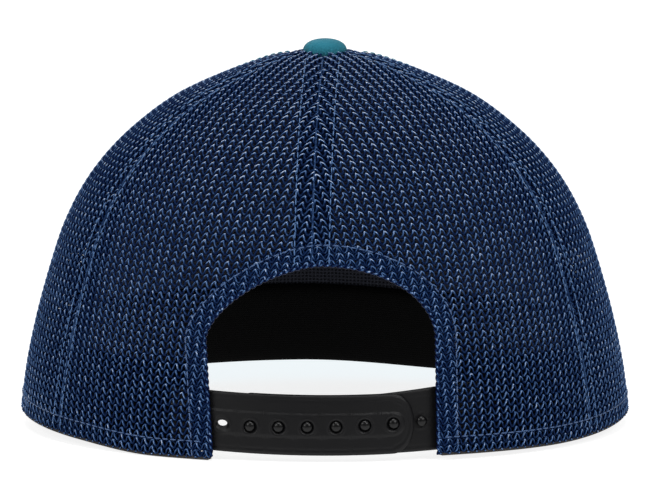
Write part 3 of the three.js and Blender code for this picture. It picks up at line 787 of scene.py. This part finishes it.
rows = []
for row in visor_rows:
    keep = np.linspace(0.06, 0.94, 400)
    inner_line, outer_line = visor_edges(keep)
    span = np.linalg.norm(outer_line - inner_line, axis=-1)
    line = outer_line + (inner_line - outer_line) * (row / span)[:, None]
    line = line[span > row + 5]
    path = np.concatenate([line, (visor_level(line) + visor_thickness)[:, None]], -1)
    rows.append(stitches(path, np.broadcast_to([0.0, 0.0, 1.0], path.shape), -0.05))
piece = add_piece("stitches_visor", *join(*rows), teal_thread)

# Button
# A domed metal shell covered with the front panels' cloth, which is drawn in under it, so fine pleats
# run round its lower edge. Its shank goes through the top where the six gores meet.

button_radius, button_height, button_skirt, button_sunk = 7.5, 5.0, 0.9, 1.0
pleat_count, pleat_depth = 19, 0.3
base = crown_height + 0.1
turn, rise = np.meshgrid(np.linspace(0, 2 * np.pi, 73)[:-1], np.linspace(0, 1, 26))
bend = np.clip((rise - 0.2) / 0.8, 0, 1) * np.pi / 2
radius = np.where(rise < 0.2, button_foot + (button_radius - button_foot) * np.sin(rise / 0.2 * np.pi / 2),
                  button_radius * np.cos(bend) ** (2 / 2.2))
under = (button_skirt + button_sunk) * (1 - np.cos(rise / 0.2 * np.pi / 2)) - button_sunk
z = np.where(rise < 0.2, base + under,
             base + button_skirt + (button_height - button_skirt) * np.sin(bend) ** (2 / 2.2))
wave = np.sin(turn * pleat_count + 0.8 * np.sin(3 * turn))
pleat = pleat_depth * wave * np.clip(1 - rise / 0.45, 0, 1)
radius = np.maximum(radius + pleat, 0.02 * (1 - rise))
ring = np.stack([-radius * np.sin(turn), crown_middle_y + radius * np.cos(turn), z], -1)
index = np.arange(ring.size // 3).reshape(ring.shape[:2])
following = np.roll(index, -1, axis=1)
faces = quads(index[:-1], following[:-1], following[1:], index[1:])
flat = np.stack([-radius * np.sin(turn), radius * np.cos(turn) + 3 * (z - base)], -1)
lid = ring[0] * (0, 0, 1) + (0, crown_middle_y, 0)
points = np.concatenate([ring.reshape(-1, 3), lid])
low = np.arange(len(lid))
lid_faces = quads(np.roll(low, -1), low, low + ring.size // 3, np.roll(low, -1) + ring.size // 3)
uv = np.concatenate([flat.reshape(-1, 2), np.zeros((len(lid), 2))])
piece = add_piece("covered_button", points, np.concatenate([faces, lid_faces]), front_cloth, uv=uv)
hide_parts("top_button")

# Snap strap
# Two strips moulded in black polyethylene, sewn behind the opening's edges. The outer one has a raised
# band with a row of holes, and the pegs of the inner one snap into them.

strap_half_height, strap_middle, strap_rise = 9.9, 12.1, 0.8
plate_depth, plate_wall, ridge_relief, ridge_half_height = 2.5, 1.0, 0.4, 3.8
peg_strip_depth, strap_root, tip_length, tip_from_peg, root_flare = 3.8, 52.3, 7.0, 6.3, 1.2
snap_pitch, snap_count, first_hole = 9.65, 7, 34.2
hole_radius, hole_neck, hole_depth = 2.45, 1.45, 0.9
neck_rise, neck_flattening, neck_widening = 0.65, 0.35, 0.1

# Satin black polyethylene from a lightly blasted mould: a broad dull highlight and a very fine grain.
strap_plastic, strap_shader = new_material(
    "Black moulded polyethylene", 0x0B0B0D, Roughness=0.42, IOR=1.51, Specular_IOR_Level=0.22)
grain_place = add_node(strap_plastic, "TexCoord").outputs["Object"]
grain = add_node(strap_plastic, "TexNoise", {"Vector": grain_place, "Scale": 4500.0, "Detail": 2.0})
grain_bump = add_node(strap_plastic, "Bump", {"Height": grain.outputs["Fac"], "Distance": 0.00004})
strap_plastic.node_tree.links.new(grain_bump.outputs["Normal"], strap_shader.inputs["Normal"])

# Places of the snaps, counted along the strap's curve, an ellipse inside the crown's
strap_level = level_at(0.0, strap_middle)
strap_angle = np.linspace(-0.6, 0.8, 3000)
speed = np.hypot(
    (crown_half_width - plate_depth) * np.cos(strap_angle),
    (crown_half_depth - plate_depth) * np.sin(strap_angle),
)
strap_arc = np.cumsum(speed) * (strap_angle[1] - strap_angle[0])
strap_line, _ = crown_at(strap_angle, strap_level, plate_depth)
first_arc = np.interp(-first_hole, -strap_line[:, 0], strap_arc)
snap_angle = np.interp(first_arc + snap_pitch * np.arange(snap_count + 1), strap_arc, strap_angle)
snap_seat, _ = crown_at(snap_angle, strap_level, plate_depth + plate_wall)
snap_face, _ = crown_at(snap_angle, strap_level, plate_depth)
snap_x = -snap_face[:, 0]
snap_up = snap_seat[:, 2] - strap_middle


def strap_point(across, up, depth):
    """A point of the strap: across runs towards the wearer's right, and up from the strap's middle
    line, which rises to both ends as a parabola."""
    return wall_at(-across, strap_middle + strap_rise * (across / opening_half_width) ** 2 + up, depth)[0]


def plate_relief(across, up, hole_x, hole_up):
    """Height of the outer strip's face: the raised band, a rounded and a scored edge, and a lip round
    the hole."""
    tip = snap_x[snap_count - 1]
    from_band = np.where(across > tip, np.hypot(across - tip, up), np.abs(up))
    band = ridge_relief * smooth((ridge_half_height + 0.15 - from_band) / 0.3)
    to_edge = np.where(
        across > tip,
        (1 - np.hypot((across - tip) / tip_length, up / strap_half_height)) * tip_length,
        strap_half_height - np.abs(up),
    )
    edge = -0.4 * (1 - smooth(to_edge / 0.9))
    score = -0.14 * np.exp(-(((to_edge - 1.7) / 0.3) ** 2))
    from_hole = np.hypot(across - hole_x, up - hole_up) - hole_radius
    lip = 0.14 * np.exp(-(((from_hole - 0.45) / 0.3) ** 2))
    funnel = -hole_depth * smooth(-from_hole / (hole_radius - hole_neck))
    return band + edge + score + lip + funnel


def hole_patch(i):
    """One snap's stretch of the strip: rings of points spread from the hole to the border of its
    stretch, which is a rectangle, or ends in half an ellipse at the tip."""
    tall, wide, half = 26, 12, strap_half_height
    left = (snap_x[i - 1] + snap_x[i]) / 2 if i else snap_x[0] - snap_pitch / 2
    right = (snap_x[i] + snap_x[i + 1]) / 2
    up, over = np.linspace(-half, half, tall + 1)[:-1], np.linspace(0, 1, wide + 1)[:-1]
    if i < snap_count - 1:
        sides = [(left + (right - left) * over, -half + 0 * over), (right + 0 * up, up),
                 (right + (left - right) * over, half + 0 * over)]
    else:
        run = np.linspace(0, 1, wide // 2 + 1)[:-1]
        bend = np.linspace(-np.pi / 2, np.pi / 2, tall + wide + 1)[:-1]
        middle = snap_x[i]
        sides = [(left + (middle - left) * run, -half + 0 * run),
                 (middle + tip_length * np.cos(bend), half * np.sin(bend)),
                 (middle + (left - middle) * run, half + 0 * run)]
    sides.append((left + 0 * up, -up))
    border = np.stack([np.concatenate(axis) for axis in zip(*sides)], -1)
    shift = border - (snap_x[i], snap_up[i])
    distance = np.linalg.norm(shift, axis=-1)
    spread = (hole_neck + (distance - hole_neck) * np.linspace(0, 1, 26)[:, None] ** 1.3) / distance
    across = snap_x[i] + shift[:, 0] * spread
    up = snap_up[i] + shift[:, 1] * spread
    depth = plate_depth - plate_relief(across, up, snap_x[i], snap_up[i])
    if i == 0:
        # The empty hole's neck sits high and a little flat, so its lower wall shows the more
        inward = np.clip((hole_radius - distance * spread) / (hole_radius - hole_neck), 0, 1)
        up = up + inward * (neck_rise - neck_flattening * (up - snap_up[i]))
        across = across + inward * neck_widening * (across - snap_x[i])
    points = strap_point(across, up, depth)
    index = np.arange(across.size).reshape(across.shape)
    following = np.roll(index, -1, axis=1)
    return points.reshape(-1, 3), quads(index[:-1], index[1:], following[1:], following[:-1])


def close_strip(piece):
    """Merges a strip's stretches and gives it its wall, set inwards from its face."""
    weld = piece.modifiers.new("merge stretches", "WELD")
    weld.merge_threshold = 2e-5
    solidify = piece.modifiers.new("wall", "SOLIDIFY")
    solidify.thickness = plate_wall / 1000
    solidify.offset = -1


across, up = np.meshgrid(
    np.linspace(-strap_root, snap_x[0] - snap_pitch / 2, 34),
    np.linspace(-strap_half_height, strap_half_height, 27),
)
grid = strap_point(across, up, plate_depth - plate_relief(across, up, snap_x[0], snap_up[0]))
index = np.arange(across.size).reshape(across.shape)
root = grid.reshape(-1, 3), quads(index[:-1, :-1], index[:-1, 1:], index[1:, 1:], index[1:, :-1])
piece = add_piece("strap_outer", *join(root, *(hole_patch(i) for i in range(snap_count))), strap_plastic)
close_strip(piece)
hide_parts("strap_with_holes")

tip = snap_x[1] - tip_from_peg
share, up = np.meshgrid(np.linspace(0, 1, 110), np.linspace(-1, 1, 36))
across = tip + (strap_root - tip) * share ** 1.3
from_round = 1 - np.clip((across - tip) / tip_length, 0, 1)
half = strap_half_height * np.sqrt(np.clip(1 - from_round ** 2, 0.0004, 1))
flare = root_flare * np.clip(across / (opening_half_width / 2) - 1, 0, None) * (up > 0) * up
from_edge = half * (1 - np.abs(up))
from_peg = np.hypot(across - snap_x[snap_count], up * half - snap_up[snap_count])
rings = 0.18 * np.exp(-(((from_peg - 2.6) / 0.3) ** 2)) - 0.15 * np.exp(-(((from_peg - 3.3) / 0.35) ** 2))
relief = rings - 0.35 * (1 - smooth(from_edge / 0.8)) - 0.12 * np.exp(-(((from_edge - 1.7) / 0.3) ** 2))
grid = strap_point(across, up * half + flare, peg_strip_depth - relief)
index = np.arange(across.size).reshape(across.shape)
faces = quads(index[:-1, :-1], index[:-1, 1:], index[1:, 1:], index[1:, :-1])
piece = add_piece("strap_inner", grid.reshape(-1, 3), faces, strap_plastic)
close_strip(piece)
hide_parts("strap_with_pegs")

# Each peg is a profile of distance from its axis and height over the inner strip, turned about the
# strap's normal: a waist and a rounded head
peg_profile = np.array([
    (1.4, -0.3), (1.4, 1.1), (1.52, 1.25), (1.68, 1.42), (1.68, 1.58), (1.58, 1.72), (1.4, 1.9),
    (1.15, 2.07), (0.85, 2.2), (0.45, 2.3), (0.0, 2.33),
])
peg_foot = peg_strip_depth - plate_depth - plate_wall
peg_across, peg_up = snap_x[1:], snap_up[1:]
peg_seat = strap_point(peg_across, peg_up, plate_depth + plate_wall)
_, peg_normal = wall_at(-peg_across, peg_seat[:, 2], plate_depth)
sideways = np.cross(peg_normal, (0, 0, 1.0))
sideways /= np.linalg.norm(sideways, axis=-1, keepdims=True)
upward = np.cross(sideways, peg_normal)
turn = np.linspace(0, 2 * np.pi, 33)[:-1]
circle = np.cos(turn)[:, None] * sideways[:, None] + np.sin(turn)[:, None] * upward[:, None]
pegs = (
    peg_seat[:, None, None]
    + peg_profile[:, 0][:, None, None] * circle[:, None]
    + ((peg_profile[:, 1] - peg_foot)[:, None] * peg_normal[:, None])[:, :, None]
)
index = np.arange(pegs.size // 3).reshape(pegs.shape[:3])
following = np.roll(index, -1, axis=2)
faces = quads(index[:, :-1], index[:, 1:], following[:, 1:], following[:, :-1])

# The same black polyethylene, rubbed smoother by snapping, so each head has one small light spot
peg_plastic, _ = new_material(
    "Rubbed polyethylene of the pegs", 0x060607, Roughness=0.3, IOR=1.51, Specular_IOR_Level=0.3)
piece = add_piece("strap_pegs", pegs.reshape(-1, 3), faces[:, ::-1], peg_plastic)

# Studio
# A pale floor that runs out of the picture, with large soft boxes at both sides, over the cap and in
# front of it.

floor_material, floor_shader = new_material("Pale studio floor", 0xA0A0A0, Roughness=0.9)
floor_shader.inputs["Emission Color"].default_value = linear(0xFFFFFF)
floor_shader.inputs["Emission Strength"].default_value = 0.85
floor_z = -0.0002
floor_corners = [(-6, -9, floor_z), (6, -9, floor_z), (6, 6, floor_z), (-6, 6, floor_z)]
floor_mesh = bpy.data.meshes.new("floor")
floor_mesh.from_pydata(floor_corners, [], [(0, 1, 2, 3)])
floor_mesh.materials.append(floor_material)
floor = bpy.data.objects.new("floor", floor_mesh)
bpy.context.scene.collection.objects.link(floor)
floor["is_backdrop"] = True

# Each soft box: place in metres, width in metres and power in watts
soft_boxes = (
    ("key", (-1.1, 1.3, 1.5), 0.8, 15),
    ("fill", (1.3, 1.1, 1.2), 0.9, 11),
    ("overhead", (0, 0.4, 1.9), 1.0, 15),
    ("front", (0.3, -2.0, 1.2), 1.2, 14),
)
aim = Vector((0, crown_middle_y / 1000, 0.06))
for name, place, size, power in soft_boxes:
    lamp = bpy.data.lights.new(name, "AREA")
    lamp.size, lamp.energy = size, power
    lamp_object = bpy.data.objects.new(name, lamp)
    lamp_object.location = place
    lamp_object.rotation_euler = (Vector(place) - aim).to_track_quat("Z", "Y").to_euler()
    bpy.context.scene.collection.objects.link(lamp_object)

world = bpy.data.worlds.new("studio")
world.use_nodes = True
world.node_tree.nodes["Background"].inputs["Color"].default_value = linear(0xFFFFFF)
world.node_tree.nodes["Background"].inputs["Strength"].default_value = 0.15
bpy.context.scene.world = world
bpy.context.scene.view_settings.view_transform = "Standard"

camera_target = Vector((0, crown_middle_y / 1000, 0.0635))
camera_rise, camera_distance = np.radians(8.2), 1.8
camera_data = bpy.data.cameras.new("camera")
camera_data.lens, camera_data.sensor_width, camera_data.clip_end = 288, 36, 50
camera = bpy.data.objects.new("camera", camera_data)
camera_way = Vector((0, np.cos(camera_rise), np.sin(camera_rise)))
camera.location = camera_target + camera_distance * camera_way
camera.rotation_euler = (camera.location - camera_target).to_track_quat("Z", "Y").to_euler()
bpy.context.scene.collection.objects.link(camera)
bpy.context.scene.camera = camera

low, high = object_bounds()
